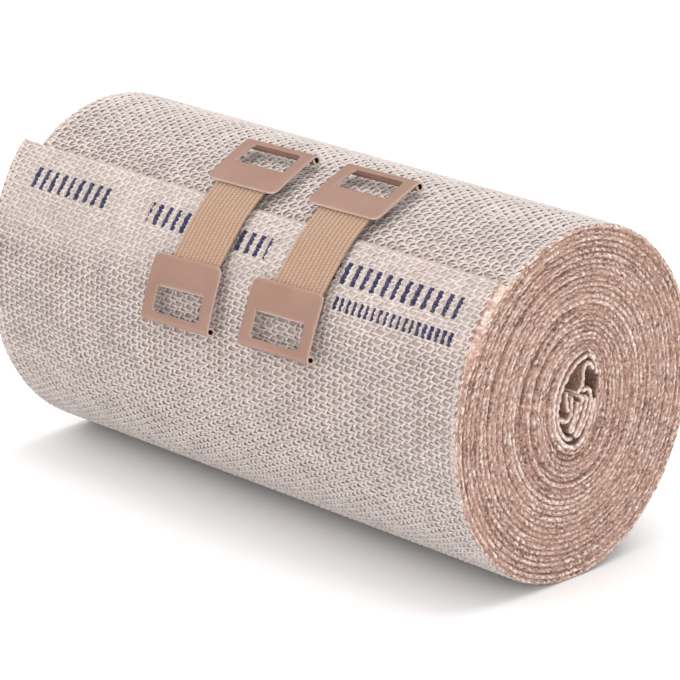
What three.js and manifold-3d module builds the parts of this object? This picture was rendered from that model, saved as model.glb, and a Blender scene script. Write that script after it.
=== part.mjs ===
// Short stretch bandage, wound into a roll, its free end held down by two elastic clips.
// Millimetres, +Z up. The roll's axis lies along X and its free end faces -Y.
// The origin is the middle of the small flat spot on which the roll rests.
import * as THREE from "three";
import { mergeVertices } from "three/addons/utils/BufferGeometryUtils.js";
import Module from "manifold-3d";

const wasm = await Module();
wasm.setup();

// Driving dimensions

const ROLL = {
  width: 100, // cloth width, end face to end face
  halfDepth: 25.1, // the wound section is a little taller than it is deep
  halfHeight: 26.9,
  cloth: 0.85, // thickness of one turn
  cutAngle: 53, // where the cut edge of the free end lies, degrees above the front
  flatDepth: 0.3, // how far the roll has settled on its flat spot
  step: 4, // degrees between points of the outline
};

// The free end runs askew, so its corner stands out past the left end face.
const FREE_END = {
  overhang: 3.1,
  fromAngle: 5,
  tuckedIn: 1.5, // how far it is rooted in the end face
};

// Inside of the innermost turn, from its tip down the left side and back up the right.
const CORE_TURN = [
  { y: 2.0, z: 7.1 },
  { y: -0.3, z: 6.3 },
  { y: -2.3, z: 4.4 },
  { y: -3.6, z: 2.0 },
  { y: -4.0, z: -0.6 },
  { y: -3.4, z: -3.2 },
  { y: -1.8, z: -5.2 },
  { y: 0.1, z: -5.7 },
  { y: 1.2, z: -4.6 },
];

// The inner end of the cloth, folded back from the right and up inside that turn.
const CORE_TAIL = [
  { y: 0.9, z: -2.6 },
  { y: -1.0, z: -2.2 },
  { y: -2.3, z: -1.2 },
  { y: -2.6, z: 1.6 },
  { y: -2.2, z: 3.5 },
  { y: -1.5, z: 3.4 },
  { y: -1.2, z: 2.1 },
  { y: 0.8, z: 1.9 },
  { y: 3.5, z: 1.7 },
  { y: 3.9, z: 3.3 },
  { y: 3.2, z: 5.2 },
];

const PLATE = {
  width: 14.2,
  length: 10.3,
  grip: 4.8, // the part over the webbing
  sheet: 0.4,
  tongue: { width: 9.6, thick: 0.3 }, // cut out of the window and bent under the webbing
  top: 2.25, // height of its top above the cloth
  clear: 0.3, // height of its underside above the cloth
  bend: 70, // radius to which it is bent along its length
  bendSteps: 8,
  corner: 1.6,
  window: { width: 10, length: 4, corner: 0.6 },
  curl: { halfDepth: 0.74, halfHeight: 1, wall: 0.3, sides: 16 }, // an oval, rolled down
  pocketDepth: 3.9,
};

const WEBBING = {
  width: 10,
  thick: 0.5,
  inPocket: 3.2,
  overCloth: 1.15, // height of its middle line above the cloth, half way between the plates
  steps: 24,
};

// Where each clip lies: x along the roll, at is the arc length above the front, in millimetres.
// turn is how far a plate sits askew, in degrees.
const CLIPS = [
  {
    side: "left",
    webbing: { x: -4.9 },
    lower: { x: -5.9, at: 8.75, turn: 3.5 },
    upper: { x: -4.5, at: 31.3, turn: 1 },
  },
  {
    side: "right",
    webbing: { x: 16.3 },
    lower: { x: 15.1, at: 9.6, turn: 2.5 },
    upper: { x: 16.2, at: 31.9, turn: 1 },
  },
];

const COLOURS = {
  cloth: 0xd9cabf,
  webbing: 0xd7af87,
  plate: 0xc2a092,
};

// The wound section

const degrees = Math.PI / 180;
const meanRadius = (ROLL.halfDepth + ROLL.halfHeight) / 2;

// The outer turn spirals inwards by one cloth thickness on its way round from the cut edge.
function spiralOffset(angle) {
  const travelled = ((((ROLL.cutAngle - angle) % 360) + 360) % 360) / 360;
  return ROLL.cloth * (0.5 - travelled);
}

const lowest = ROLL.halfHeight + spiralOffset(-90);
const axisHeight = lowest - ROLL.flatDepth;

// A point at a height over the cloth, at an angle above the front. The flat spot cuts it off below.
function overCloth(angle, height, offset = spiralOffset(angle)) {
  const y = -(ROLL.halfDepth + offset + height) * Math.cos(angle * degrees);
  const z = (ROLL.halfHeight + offset + height) * Math.sin(angle * degrees);
  return new THREE.Vector2(y, Math.max(axisHeight + z, 0));
}

const angleAt = (arc) => arc / meanRadius / degrees;

// Solids

function solidOf(geometry) {
  const bare = geometry.index ? geometry.toNonIndexed() : geometry.clone();
  for (const name of Object.keys(bare.attributes)) {
    if (name !== "position") bare.deleteAttribute(name);
  }
  const merged = mergeVertices(bare, 1e-4);
  return new wasm.Manifold(
    new wasm.Mesh({
      numProp: 3,
      vertProperties: merged.attributes.position.array,
      triVerts: new Uint32Array(merged.index.array),
    }),
  );
}

function geometryOf(solid) {
  const { vertProperties, triVerts } = solid.getMesh();
  const geometry = new THREE.BufferGeometry();
  geometry.setAttribute("position", new THREE.BufferAttribute(vertProperties, 3));
  geometry.setIndex(new THREE.BufferAttribute(triVerts, 1));
  geometry.computeVertexNormals();
  return geometry;
}

// A prism along X from a side profile; holes are profiles too.
function alongX(profile, fromX, toX, holes = []) {
  const shape = new THREE.Shape(profile);
  shape.holes = holes.map((hole) => new THREE.Path(hole));
  const prism = new THREE.ExtrudeGeometry(shape, { depth: toX - fromX, bevelEnabled: false, steps: 1 });
  const sideways = new THREE.Matrix4().set(0, 0, 1, fromX, 1, 0, 0, 0, 0, 1, 0, 0, 0, 0, 0, 1);
  return prism.applyMatrix4(sideways);
}

// The roll

function rollOutline() {
  const points = [];
  const steps = Math.round(360 / ROLL.step);
  for (let i = 0; i < steps; i++) {
    points.push(overCloth(ROLL.cutAngle - i * ROLL.step, 0));
  }
  points.push(overCloth(ROLL.cutAngle, 0, -ROLL.cloth / 2));
  return points.reverse();
}

function coreHollow() {
  return [...CORE_TURN, ...CORE_TAIL].map(({ y, z }) => new THREE.Vector2(y, axisHeight + z));
}

// The stretch of the free end that stands out past the end face, widest at its cut edge.
function overhangingCorner() {
  const outer = [];
  const inner = [];
  for (let angle = ROLL.cutAngle; angle > FREE_END.fromAngle; angle -= ROLL.step) {
    outer.push(overCloth(angle, 0));
    inner.push(overCloth(angle, -ROLL.cloth));
  }
  outer.push(overCloth(FREE_END.fromAngle, 0));
  inner.push(overCloth(FREE_END.fromAngle, -ROLL.cloth));
  const end = -ROLL.width / 2;
  const profile = [...inner, ...outer.reverse()];
  const strip = solidOf(alongX(profile, end - FREE_END.overhang, end + FREE_END.tuckedIn));
  const corner = overCloth(ROLL.cutAngle, 0);
  const root = overCloth(FREE_END.fromAngle, 0);
  const slope = FREE_END.overhang / (corner.y - root.y);
  const below = 2 * axisHeight; // well past the underside of the roll
  const wedge = new THREE.Shape([
    new THREE.Vector2(end - FREE_END.overhang - slope * below, corner.y + below),
    new THREE.Vector2(end, root.y),
    new THREE.Vector2(end, root.y - below),
    new THREE.Vector2(end - FREE_END.overhang - slope * below, root.y - below),
  ]);
  const cutter = new THREE.ExtrudeGeometry(wedge, { depth: 2 * below, bevelEnabled: false, steps: 1 });
  cutter.rotateX(Math.PI / 2).translate(0, below, 0);
  return strip.subtract(solidOf(cutter));
}

function rollGeometry() {
  const half = ROLL.width / 2;
  const wound = solidOf(alongX(rollOutline(), -half, half, [coreHollow()]));
  return geometryOf(wound.add(overhangingCorner()));
}

// The clip plates. In a plate's own frame x runs across it, y from the webbing side to the far end,
// and z up from the cloth. All the outlines are taken straight through it, so they start and end
// farther out than any of its surfaces.

const plateEnd = PLATE.length / 2;
const through = 2 * PLATE.top;

// A curved layer of the plate between two heights, bent along its length.
function layer(fromY, toY, bottom, top) {
  const steps = PLATE.bendSteps;
  const bent = (y, z) => {
    const angle = y / PLATE.bend;
    const radius = PLATE.bend + z;
    return new THREE.Vector2(radius * Math.sin(angle), radius * Math.cos(angle) - PLATE.bend);
  };
  const places = Array.from({ length: steps + 1 }, (_, i) => fromY + ((toY - fromY) * i) / steps);
  return [...places.map((y) => bent(y, bottom)), ...places.reverse().map((y) => bent(y, top))];
}

function oval(centre, inset) {
  const { sides, halfDepth, halfHeight } = PLATE.curl;
  return Array.from({ length: sides }, (_, i) => {
    const angle = (2 * Math.PI * i) / sides;
    const y = (halfDepth - inset) * Math.cos(angle);
    return new THREE.Vector2(centre.x + y, centre.y + (halfHeight - inset) * Math.sin(angle));
  });
}

// A rectangle with rounded corners, centred across the plate, as a block through all of it.
function roundedBlock(width, fromY, toY, corner) {
  const side = width / 2 - corner;
  const quarter = Math.PI / 2;
  const shape = new THREE.Shape();
  shape.moveTo(width / 2, toY - corner);
  shape.absarc(side, toY - corner, corner, 0, quarter);
  shape.absarc(-side, toY - corner, corner, quarter, 2 * quarter);
  shape.absarc(-side, fromY + corner, corner, 2 * quarter, 3 * quarter);
  shape.absarc(side, fromY + corner, corner, 3 * quarter, 4 * quarter);
  const options = { depth: 2 * through, bevelEnabled: false, steps: 1, curveSegments: 6 };
  return solidOf(new THREE.ExtrudeGeometry(shape, options).translate(0, 0, -through));
}

function plateGeometry() {
  const { curl, window, corner, tongue } = PLATE;
  const half = PLATE.width / 2;
  const side = tongue.width / 2;
  const curlY = plateEnd - curl.halfDepth;
  const drop = curlY ** 2 / (2 * PLATE.bend);
  const curlCentre = new THREE.Vector2(curlY, PLATE.top - curl.halfHeight - drop);
  const windowFrom = -plateEnd + PLATE.grip;
  const windowTo = windowFrom + window.length;
  const bendFrom = -plateEnd + PLATE.pocketDepth;
  const parts = [
    alongX(layer(-plateEnd, curlY, PLATE.top - PLATE.sheet, PLATE.top), -half, half),
    alongX(layer(-plateEnd, windowFrom, PLATE.clear, PLATE.clear + tongue.thick), -side, side),
    alongX(layer(bendFrom, windowFrom, PLATE.clear, PLATE.top), -side, side),
    alongX(oval(curlCentre, 0), -half, half),
  ].map(solidOf);
  const whole = parts.reduce((all, part) => all.add(part));
  const outline = roundedBlock(PLATE.width, -plateEnd, plateEnd + through, corner);
  const hole = roundedBlock(window.width, windowFrom, windowTo, window.corner);
  const bore = solidOf(alongX(oval(curlCentre, curl.wall), -half - through, half + through));
  return geometryOf(whole.intersect(outline).subtract(hole).subtract(bore));
}

// Where a plate sits on the roll: facing is 1 where its far end points up the roll, -1 where down.
function plateFrame({ x, at, turn }, facing) {
  const angle = angleAt(at);
  const point = overCloth(angle, 0);
  const along = overCloth(angle + 0.01, 0).sub(point).normalize();
  const tangent = new THREE.Vector3(0, along.x, along.y);
  const normal = new THREE.Vector3(1, 0, 0).cross(tangent);
  const frame = new THREE.Matrix4().makeBasis(
    new THREE.Vector3(facing, 0, 0),
    tangent.clone().multiplyScalar(facing),
    normal,
  );
  frame.multiply(new THREE.Matrix4().makeRotationZ(turn * degrees));
  return frame.setPosition(x, point.x, point.y);
}

function plateMesh(name, place, facing) {
  const mesh = new THREE.Mesh(plateGeometry(), materials.plate);
  mesh.name = name;
  mesh.applyMatrix4(plateFrame(place, facing));
  return mesh;
}

// The webbing

// Its middle line runs from pocket to pocket, straight off each plate and down over the cloth.
function webbingLine(clip) {
  const pocket = (PLATE.clear + PLATE.tongue.thick + PLATE.top - PLATE.sheet) / 2;
  const inPlate = (place, facing, y) => {
    const drop = y ** 2 / (2 * PLATE.bend);
    const point = new THREE.Vector3(0, y, pocket - drop);
    point.applyMatrix4(plateFrame(place, facing));
    return new THREE.Vector3(0, point.y, point.z);
  };
  const onCloth = (share) => {
    const from = clip.lower.at + plateEnd;
    const to = clip.upper.at - plateEnd;
    const arc = from + (to - from) * share;
    const point = overCloth(angleAt(arc), WEBBING.overCloth, 0);
    return new THREE.Vector3(0, point.x, point.y);
  };
  const deep = -plateEnd + WEBBING.inPocket;
  return new THREE.CatmullRomCurve3([
    inPlate(clip.lower, -1, deep),
    inPlate(clip.lower, -1, deep / 2 - plateEnd / 2),
    inPlate(clip.lower, -1, -plateEnd),
    onCloth(0.35),
    onCloth(0.65),
    inPlate(clip.upper, 1, -plateEnd),
    inPlate(clip.upper, 1, deep / 2 - plateEnd / 2),
    inPlate(clip.upper, 1, deep),
  ]);
}

function webbingMesh(clip) {
  const line = webbingLine(clip);
  const top = [];
  const bottom = [];
  for (let i = 0; i <= WEBBING.steps; i++) {
    const point = line.getPointAt(i / WEBBING.steps);
    const tangent = line.getTangentAt(i / WEBBING.steps);
    const normal = new THREE.Vector3(1, 0, 0).cross(tangent);
    const out = normal.multiplyScalar(WEBBING.thick / 2);
    top.push(new THREE.Vector2(point.y + out.y, point.z + out.z));
    bottom.push(new THREE.Vector2(point.y - out.y, point.z - out.z));
  }
  const from = clip.webbing.x - WEBBING.width / 2;
  const geometry = alongX([...bottom, ...top.reverse()], from, from + WEBBING.width);
  const mesh = new THREE.Mesh(geometry, materials.webbing);
  mesh.name = `clip_${clip.side}_webbing`;
  return mesh;
}

// The whole thing

const materials = {
  cloth: new THREE.MeshStandardMaterial({ color: COLOURS.cloth, roughness: 0.95, metalness: 0 }),
  webbing: new THREE.MeshStandardMaterial({ color: COLOURS.webbing, roughness: 0.85, metalness: 0 }),
  plate: new THREE.MeshStandardMaterial({ color: COLOURS.plate, roughness: 0.4, metalness: 0.1 }),
};

const bandage = new THREE.Group();
const roll = new THREE.Mesh(rollGeometry(), materials.cloth);
roll.name = "bandage_roll";
bandage.add(roll);

for (const clip of CLIPS) {
  const holder = new THREE.Group();
  holder.add(plateMesh(`clip_${clip.side}_lower_plate`, clip.lower, -1));
  holder.add(plateMesh(`clip_${clip.side}_upper_plate`, clip.upper, 1));
  holder.add(webbingMesh(clip));
  bandage.add(holder);
}

export default bandage;
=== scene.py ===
import math

import bmesh
import bpy
import numpy as np
from mathutils import Matrix, Vector


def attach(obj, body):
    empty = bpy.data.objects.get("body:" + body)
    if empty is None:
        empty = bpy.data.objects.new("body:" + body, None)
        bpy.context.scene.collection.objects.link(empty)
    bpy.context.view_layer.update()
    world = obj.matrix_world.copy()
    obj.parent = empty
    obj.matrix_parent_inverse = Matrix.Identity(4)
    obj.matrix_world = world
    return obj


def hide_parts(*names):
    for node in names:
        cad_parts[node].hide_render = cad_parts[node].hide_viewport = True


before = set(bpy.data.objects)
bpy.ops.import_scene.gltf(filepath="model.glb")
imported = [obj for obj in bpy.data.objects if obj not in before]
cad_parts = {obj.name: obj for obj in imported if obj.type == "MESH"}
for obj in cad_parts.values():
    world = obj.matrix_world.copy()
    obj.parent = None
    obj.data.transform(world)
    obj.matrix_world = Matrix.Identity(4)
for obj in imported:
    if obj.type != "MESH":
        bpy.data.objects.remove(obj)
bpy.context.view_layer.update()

MM = 0.001

# The cloth path. The bandage is one strip of cotton cloth, 100 mm wide, wound on itself under a
# little pull. Its section is taller than deep because it was started on a flat fold. A place in
# the cloth is given by the turns in from the cut edge and the height over its outer face, in mm.
CLOTH = 0.85
CUT_ANGLE = 53.0
HALF_WIDTH = 50.0
HALF_DEPTH = 25.1
HALF_HEIGHT = 26.9
AXIS_HEIGHT = 26.687
WOUND_TURNS = 24.65
SKEW_ANGLE = 5.0
OVERHANG = 3.1
SET_BACK = 1.3
CORE_TURNS = 5.0
FLOOR_GAP = 0.02
# y and height over the roll's axis of places round the hollow's wall
HOLLOW = np.array(
    [
        (2.0, 7.1), (-0.3, 6.3), (-2.3, 4.4), (-3.6, 2.0), (-4.0, -0.6), (-3.4, -3.2), (-1.8, -5.2),
        (0.1, -5.9), (1.6, -4.9), (2.3, -3.4), (2.9, -1.5), (3.4, 0.5), (3.7, 2.2), (3.9, 3.8),
        (3.3, 5.6),
    ]
)


def hollow_pull():
    """How far the hollow's wall lies from the plain oval there, by angle round the roll."""
    out = CLOTH * (0.5 - WOUND_TURNS - 1)
    deep, high = HALF_DEPTH + out, HALF_HEIGHT + out
    angle = np.arctan2(HOLLOW[:, 1] / high, -HOLLOW[:, 0] / deep)
    pull = HOLLOW - np.stack([-deep * np.cos(angle), high * np.sin(angle)], 1)
    order = np.argsort(angle)
    return angle[order], pull[order]


PULL_ANGLE, PULL = hollow_pull()


def wound_place(turns, height):
    """y and z in mm of a place in the wound cloth."""
    angle = np.radians(CUT_ANGLE - 360 * turns)
    out = CLOTH * (0.5 - turns) + height
    turns_off = (WOUND_TURNS + 1 + (out / CLOTH - 0.5)) / CORE_TURNS
    near_core = np.exp(-np.clip(turns_off, 0, 9) ** 1.2)
    round_way = np.mod(angle + np.pi, 2 * np.pi) - np.pi
    pull_y = np.interp(round_way, PULL_ANGLE, PULL[:, 0], period=2 * np.pi)
    pull_z = np.interp(round_way, PULL_ANGLE, PULL[:, 1], period=2 * np.pi)
    y = -(HALF_DEPTH + out) * np.cos(angle) + near_core * pull_y
    z = AXIS_HEIGHT + (HALF_HEIGHT + out) * np.sin(angle) + near_core * pull_z
    return y, np.maximum(z, FLOOR_GAP)


def askew(turns):
    """0 where the free end lies square on the roll, 1 at its cut edge."""
    angle = CUT_ANGLE - 360 * turns
    return np.clip((angle - SKEW_ANGLE) / (CUT_ANGLE - SKEW_ANGLE), 0, 1)


def across_cloth(share, turns):
    """x in mm, for a share of the cloth's width from 0, left, to 1, right."""
    left = -HALF_WIDTH - OVERHANG * askew(turns)
    right = HALF_WIDTH - SET_BACK * askew(turns)
    return left + (right - left) * share


def soft_noise(rng, rows, columns, row_cells, column_cells):
    """Smooth chance numbers from -1 to 1 on a grid, with so many cells each way."""
    coarse = rng.uniform(-1, 1, (row_cells + 1, column_cells + 1))
    r, c = np.linspace(0, row_cells, rows), np.linspace(0, column_cells, columns)
    r0, c0 = np.minimum(r.astype(int), row_cells - 1), np.minimum(c.astype(int), column_cells - 1)
    fr, fc = r - r0, c - c0
    fr, fc = (fr * fr * (3 - 2 * fr))[:, None], (fc * fc * (3 - 2 * fc))[None, :]
    top = coarse[r0][:, c0] * (1 - fc) + coarse[r0][:, c0 + 1] * fc
    low = coarse[r0 + 1][:, c0] * (1 - fc) + coarse[r0 + 1][:, c0 + 1] * fc
    return top * (1 - fr) + low * fr


def cloth_mesh(name, points, faces, numbers, bake_map=None):
    """A finished piece of cloth from points in mm, with numbers kept for each point."""
    mesh = bpy.data.meshes.new(name)
    mesh.from_pydata((points * MM).tolist(), [], faces.tolist())
    mesh.shade_smooth()
    for key, values in numbers:
        values = np.asarray(values, np.float32)
        kind = "FLOAT_VECTOR" if values.ndim == 2 else "FLOAT"
        layer = mesh.attributes.new(key, kind, "POINT")
        layer.data.foreach_set("vector" if values.ndim == 2 else "value", values.ravel())
    if bake_map is not None:
        corner = np.zeros(len(mesh.loops), np.int32)
        mesh.loops.foreach_get("vertex_index", corner)
        layer = mesh.uv_layers.new(name="OFBake")
        layer.uv.foreach_set("vector", bake_map[corner].astype(np.float32).ravel())
    piece = bpy.data.objects.new(name, mesh)
    bpy.context.scene.collection.objects.link(piece)
    return piece


def closing_walls(rows, columns):
    """Quads that join the rims of two grids of points, the second after the first."""
    count = rows * columns
    rim = np.concatenate(
        [
            np.arange(columns),
            columns * np.arange(1, rows) + columns - 1,
            count - 2 - np.arange(columns - 1),
            columns * np.arange(rows - 2, -1, -1),
        ]
    )
    a, b = rim[:-1], rim[1:]
    return np.stack([b, a, a + count, b + count], 1)


def grid_faces(rows, columns, first=0):
    """Quads over a grid of points, facing to the side from which columns run left to right."""
    r, c = np.meshgrid(np.arange(rows - 1), np.arange(columns - 1), indexing="ij")
    a = first + (r * columns + c).ravel()
    return np.stack([a, a + 1, a + columns + 1, a + columns], 1)


def length_along(*line):
    """The length from the start of a line to each of its points."""
    steps = np.sqrt(sum(np.diff(part) ** 2 for part in line))
    return np.concatenate([[0], np.cumsum(steps)])


PATH_TURNS = 1.06
PATH_HEIGHT = -0.4
TURN_STEPS = np.linspace(0, PATH_TURNS, 4000)
ARC_STEPS = length_along(*wound_place(TURN_STEPS, PATH_HEIGHT))


def turns_at(arc):
    """How many turns in a place is, for its arc, the length along the cloth from the cut edge."""
    return np.interp(arc, ARC_STEPS, TURN_STEPS)


def arc_of(turns):
    return np.interp(turns, TURN_STEPS, ARC_STEPS)


# The outermost turn, ground layer. Behind the open weave one sees the skin-coloured inside of the
# cloth, and towards the cut edge a printed band whose coating fills the gaps between the yarns.
# It is a thin closed sheet with the thickness of the cloth, tucked in where the next turn starts.
OUTER_TURNS = 1.045
BAND_ARC_LEFT = 15.0
BAND_ARC_RIGHT = 11.5
BAND_FADE = 5.0
GROUND_DEPTH = 0.43
BAND_DEPTH = 0.27
GROUND_SHORT = 0.009
GROUND_ROWS, GROUND_COLUMNS = 331, 71
MAP_WIDTH, MAP_LENGTH, MAP_MARGIN = 108, 176, 2


def in_band(share, arc):
    """1 within the coated band at the free end, 0 outside it."""
    edge = BAND_ARC_LEFT + (BAND_ARC_RIGHT - BAND_ARC_LEFT) * share
    return np.clip((edge - arc) / BAND_FADE + 0.5, 0, 1)


def cloth_map(x, arc):
    """Where a place of the outer turn lies in the flat picture of it."""
    return np.stack([(x + MAP_WIDTH / 2) / MAP_WIDTH, (arc + MAP_MARGIN) / MAP_LENGTH], 1)


def outer_ground():
    rows, columns = GROUND_ROWS, GROUND_COLUMNS
    turns = np.linspace(0, OUTER_TURNS, rows)[:, None] * np.ones((1, columns))
    share = np.linspace(GROUND_SHORT, 1 - GROUND_SHORT, columns)[None, :] * np.ones((rows, 1))
    arc = arc_of(turns)
    band = in_band(share, arc)
    top = -GROUND_DEPTH + (GROUND_DEPTH - BAND_DEPTH) * band
    x = across_cloth(share, turns)
    sheets, shades = [], []
    for height in (top, np.full_like(top, FLOOR_GAP - CLOTH)):
        y, z = wound_place(turns, height)
        sheets.append(np.stack([x, y, z], 2).reshape(-1, 3))
        shades.append(np.stack([x, arc, band], 2).reshape(-1, 3))
    outside = grid_faces(rows, columns)
    inside = grid_faces(rows, columns, rows * columns)[:, ::-1]
    places = np.concatenate(shades)
    return cloth_mesh(
        "bandage_outer_turn",
        np.concatenate(sheets),
        np.concatenate([outside, inside, closing_walls(rows, columns)]),
        [("cloth_place", places)],
        cloth_map(places[:, 0], places[:, 1]),
    )


outer_turn = outer_ground()


# The yarns of the outermost turn. The cloth is a plain weave of hard-twisted cotton crepe yarn:
# 84 lengthwise yarns cross about 240 crosswise ones, over and under in turn. The twist draws the
# yarns together in pairs, with a larger hole between four of them. Each yarn is a rounded strip.
ENDS = 84
END_PITCH = 1.19
PICK_PITCH = 0.665
PICK_PITCH_OPEN = 0.78
# height, wave and half widths of the yarns in mm
YARN_TOP = 0.07
WAVE = 0.17
LENGTH_YARN = 0.235
CROSS_YARN = 0.165
OVER_WIDER = 0.15
YARN_DROP = 0.2
YARN_UNEVEN = 0.25
DRAWN_UNEVEN = 0.45
# How far a yarn is drawn to its neighbour, in mm: all along, and more at every other crossing.
ENDS_TOGETHER = (0.07, 0.24)
PICKS_TOGETHER = (0.07, 0.06)
CROSSWISE_LOWER = 0.06
CROSSWISE_BOW = 0.25
FLATTER_IN_BAND = 0.35
WIDER_IN_BAND = 0.12
EDGE_TUCK = 0.3
FIRST_PICK = 0.35
LAST_PICK_TURNS = 1.03
OPEN_FROM_TURNS, OPEN_OVER_TURNS = 0.72, 0.18


def pick_places():
    """The arc of each crosswise yarn, set wider apart on the last part of the turn."""
    places, arc = [], FIRST_PICK
    while arc < arc_of(LAST_PICK_TURNS):
        places.append(arc)
        opened = np.clip((turns_at(arc) - OPEN_FROM_TURNS) / OPEN_OVER_TURNS, 0, 1)
        arc += PICK_PITCH + (PICK_PITCH_OPEN - PICK_PITCH) * opened
    return np.array(places)


PICKS = pick_places()
END_SHARES = (np.arange(ENDS) - (ENDS - 1) / 2) * END_PITCH / (2 * HALF_WIDTH) + 0.5


def yarn_strips(name, along, side, crown, spread, tone, over, lengthwise):
    """One rounded strip per row: along and side are places in the cloth, crown is its height,
    and over says where the yarn passes over, 1, or under, -1."""
    count, steps = crown.shape
    points, places = [], []
    for step_aside, drop in ((-1, YARN_DROP), (0, 0), (1, YARN_DROP)):
        offset = step_aside * spread
        if lengthwise:
            share, arc = side + offset / (2 * HALF_WIDTH), along
        else:
            share, arc = along, side + offset
        turns = turns_at(arc)
        x = across_cloth(share, turns)
        y, z = wound_place(turns, crown - drop)
        points.append(np.stack([x, y, z], 2))
        places.append(np.stack([x, arc, in_band(share, arc)], 2))
    points = np.stack(points, 2).reshape(-1, 3)
    places = np.stack(places, 2).reshape(-1, 3)
    strip = grid_faces(steps, 3)
    if not lengthwise:
        strip = strip[:, ::-1]
    faces = (strip[None] + (np.arange(count) * steps * 3)[:, None, None]).reshape(-1, 4)
    shade = np.repeat(tone.ravel(), 3)
    # Painted light: each yarn is painted lighter along its crown and where it passes over, and
    # darker at its sides and where it passes under, as painted highlight and painted shade.
    high = 0.5 + 0.5 * np.broadcast_to(over, crown.shape)
    crest = np.stack([0.25 * high, 0.35 + 0.65 * high, 0.25 * high], 2).ravel()
    return cloth_mesh(
        name,
        points,
        faces,
        [("cloth_place", places), ("yarn_shade", shade), ("yarn_painted_light", crest)],
        cloth_map(places[:, 0], places[:, 1]),
    )


def drawn_together(turn_way, drawn, amounts, crossing):
    """How far each yarn is drawn aside, to one neighbour and then to the other."""
    always, in_turn = amounts
    return turn_way * drawn * (always + in_turn * np.cos(np.pi * (crossing - 1.5)))[None, :]


def width_and_tone(rng, width, uneven, over, lie_flat, width_cells, tone_cells):
    """Half the width of each yarn and how light it is, place by place, wider where it is over."""
    spread = width * (1 + uneven * soft_noise(rng, *over.shape, *width_cells))
    spread = spread * (1 + WIDER_IN_BAND - WIDER_IN_BAND * lie_flat) * (1 + OVER_WIDER * over)
    tone = rng.normal(0, 0.35, (len(over), 1))
    tone = tone + 0.5 * soft_noise(rng, *over.shape, *tone_cells)
    return spread, 0.5 + 0.5 * np.clip(tone, -1, 1)


def woven_yarns():
    rng = np.random.default_rng(41)
    picks = len(PICKS)
    # Lengthwise yarns: two places for each crosswise yarn, on it and half way to the next.
    shape = (ENDS, 2 * picks - 1)
    crossing = np.arange(shape[1]) / 2
    arc = np.broadcast_to(np.interp(crossing, np.arange(picks), PICKS), shape)
    turn_way = np.where(np.arange(ENDS)[:, None] % 2 == 0, 1.0, -1.0)
    drawn = 1 + DRAWN_UNEVEN * soft_noise(rng, *shape, 42, 110)
    together = drawn_together(turn_way, drawn, ENDS_TOGETHER, crossing)
    wander = 0.17 * soft_noise(rng, *shape, 60, 110) + rng.normal(0, 0.045, shape)
    share = END_SHARES[:, None] + (together + wander) / (2 * HALF_WIDTH)
    lie_flat = 1 - FLATTER_IN_BAND * in_band(share, arc)
    wave = WAVE * (1 + YARN_UNEVEN * soft_noise(rng, *shape, 30, 80)) * lie_flat
    over = turn_way * np.cos(np.pi * crossing)[None, :]
    crown = YARN_TOP - wave + wave * over
    crown = crown + rng.normal(0, 0.015, shape)
    spread, tone = width_and_tone(rng, LENGTH_YARN, 0.22, over, lie_flat, (84, 110), (60, 60))
    lengthwise = yarn_strips(
        "bandage_lengthwise_yarns", arc, share, crown, spread, tone, over, lengthwise=True
    )

    # Crosswise yarns: two places for each lengthwise yarn, and one past each edge of the cloth.
    shape = (picks, 2 * ENDS + 1)
    crossing = (np.arange(shape[1]) - 1) / 2
    share = np.interp(crossing, np.arange(ENDS), END_SHARES)
    share[0], share[-1] = 0.001, 0.999
    share = np.broadcast_to(share, shape)
    turn_way = np.where(np.arange(picks)[:, None] % 2 == 0, 1.0, -1.0)
    drawn = 1 + DRAWN_UNEVEN * soft_noise(rng, *shape, 120, 42)
    together = drawn_together(turn_way, drawn, PICKS_TOGETHER, crossing)
    wander = 0.1 * soft_noise(rng, *shape, 160, 60) + rng.normal(0, 0.03, shape)
    bow = CROSSWISE_BOW * soft_noise(rng, *shape, 6, 4)
    arc = PICKS[:, None] + bow + wander + together
    lie_flat = 1 - FLATTER_IN_BAND * in_band(share, arc)
    wave = WAVE * (1 + YARN_UNEVEN * soft_noise(rng, *shape, 90, 30)) * lie_flat
    over = -turn_way * np.cos(np.pi * crossing)[None, :]
    crown = YARN_TOP - CROSSWISE_LOWER - wave + wave * over
    crown[:, [0, -1]] -= EDGE_TUCK
    spread, tone = width_and_tone(rng, CROSS_YARN, 0.25, over, lie_flat, (200, 60), (100, 40))
    crosswise = yarn_strips(
        "bandage_crosswise_yarns", share, arc, crown, spread, tone, over, lengthwise=False
    )
    return lengthwise, crosswise


lengthwise_yarns, crosswise_yarns = woven_yarns()


# The cotton's finish, for ground and yarns alike: undyed cream yarn over a skin-coloured ground,
# dull and a little fuzzy. The coated band is paler and carries a few plain ink marks along the
# free end, bars and ticks that say nothing.
GROUND_COLOUR, GROUND_IN_BAND = (0.37, 0.27, 0.23, 1), (0.43, 0.335, 0.295, 1)
YARN_COLOUR, YARN_IN_BAND = (0.61, 0.535, 0.505, 1), (0.63, 0.55, 0.515, 1)
FIBRE_RELIEF = 0.00008
WORN_INK = 0.94
INK = (0.014, 0.014, 0.065, 1)
INK_GROUPS = (
    # low x, high x, low arc, high arc, mark pitch, share of the pitch that is inked
    (-46.5, -28.5, 3.8, 7.2, 2.0, 0.42),
    (-19.5, 6.5, 3.8, 7.2, 2.0, 0.42),
    (18.5, 46.0, 3.8, 7.2, 2.0, 0.42),
    (22.0, 46.0, 9.0, 11.0, 1.25, 0.5),
)


def feed(tree, socket, value):
    if isinstance(value, bpy.types.NodeSocket):
        tree.links.new(value, socket)
    else:
        socket.default_value = value


def add_node(tree, kind, *inputs, **settings):
    node = tree.nodes.new(kind)
    for key, value in settings.items():
        setattr(node, key, value)
    for socket, value in zip(node.inputs, inputs):
        feed(tree, socket, value)
    return node


def reckon(tree, operation, *values):
    return add_node(tree, "ShaderNodeMath", *values, operation=operation).outputs[0]


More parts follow.
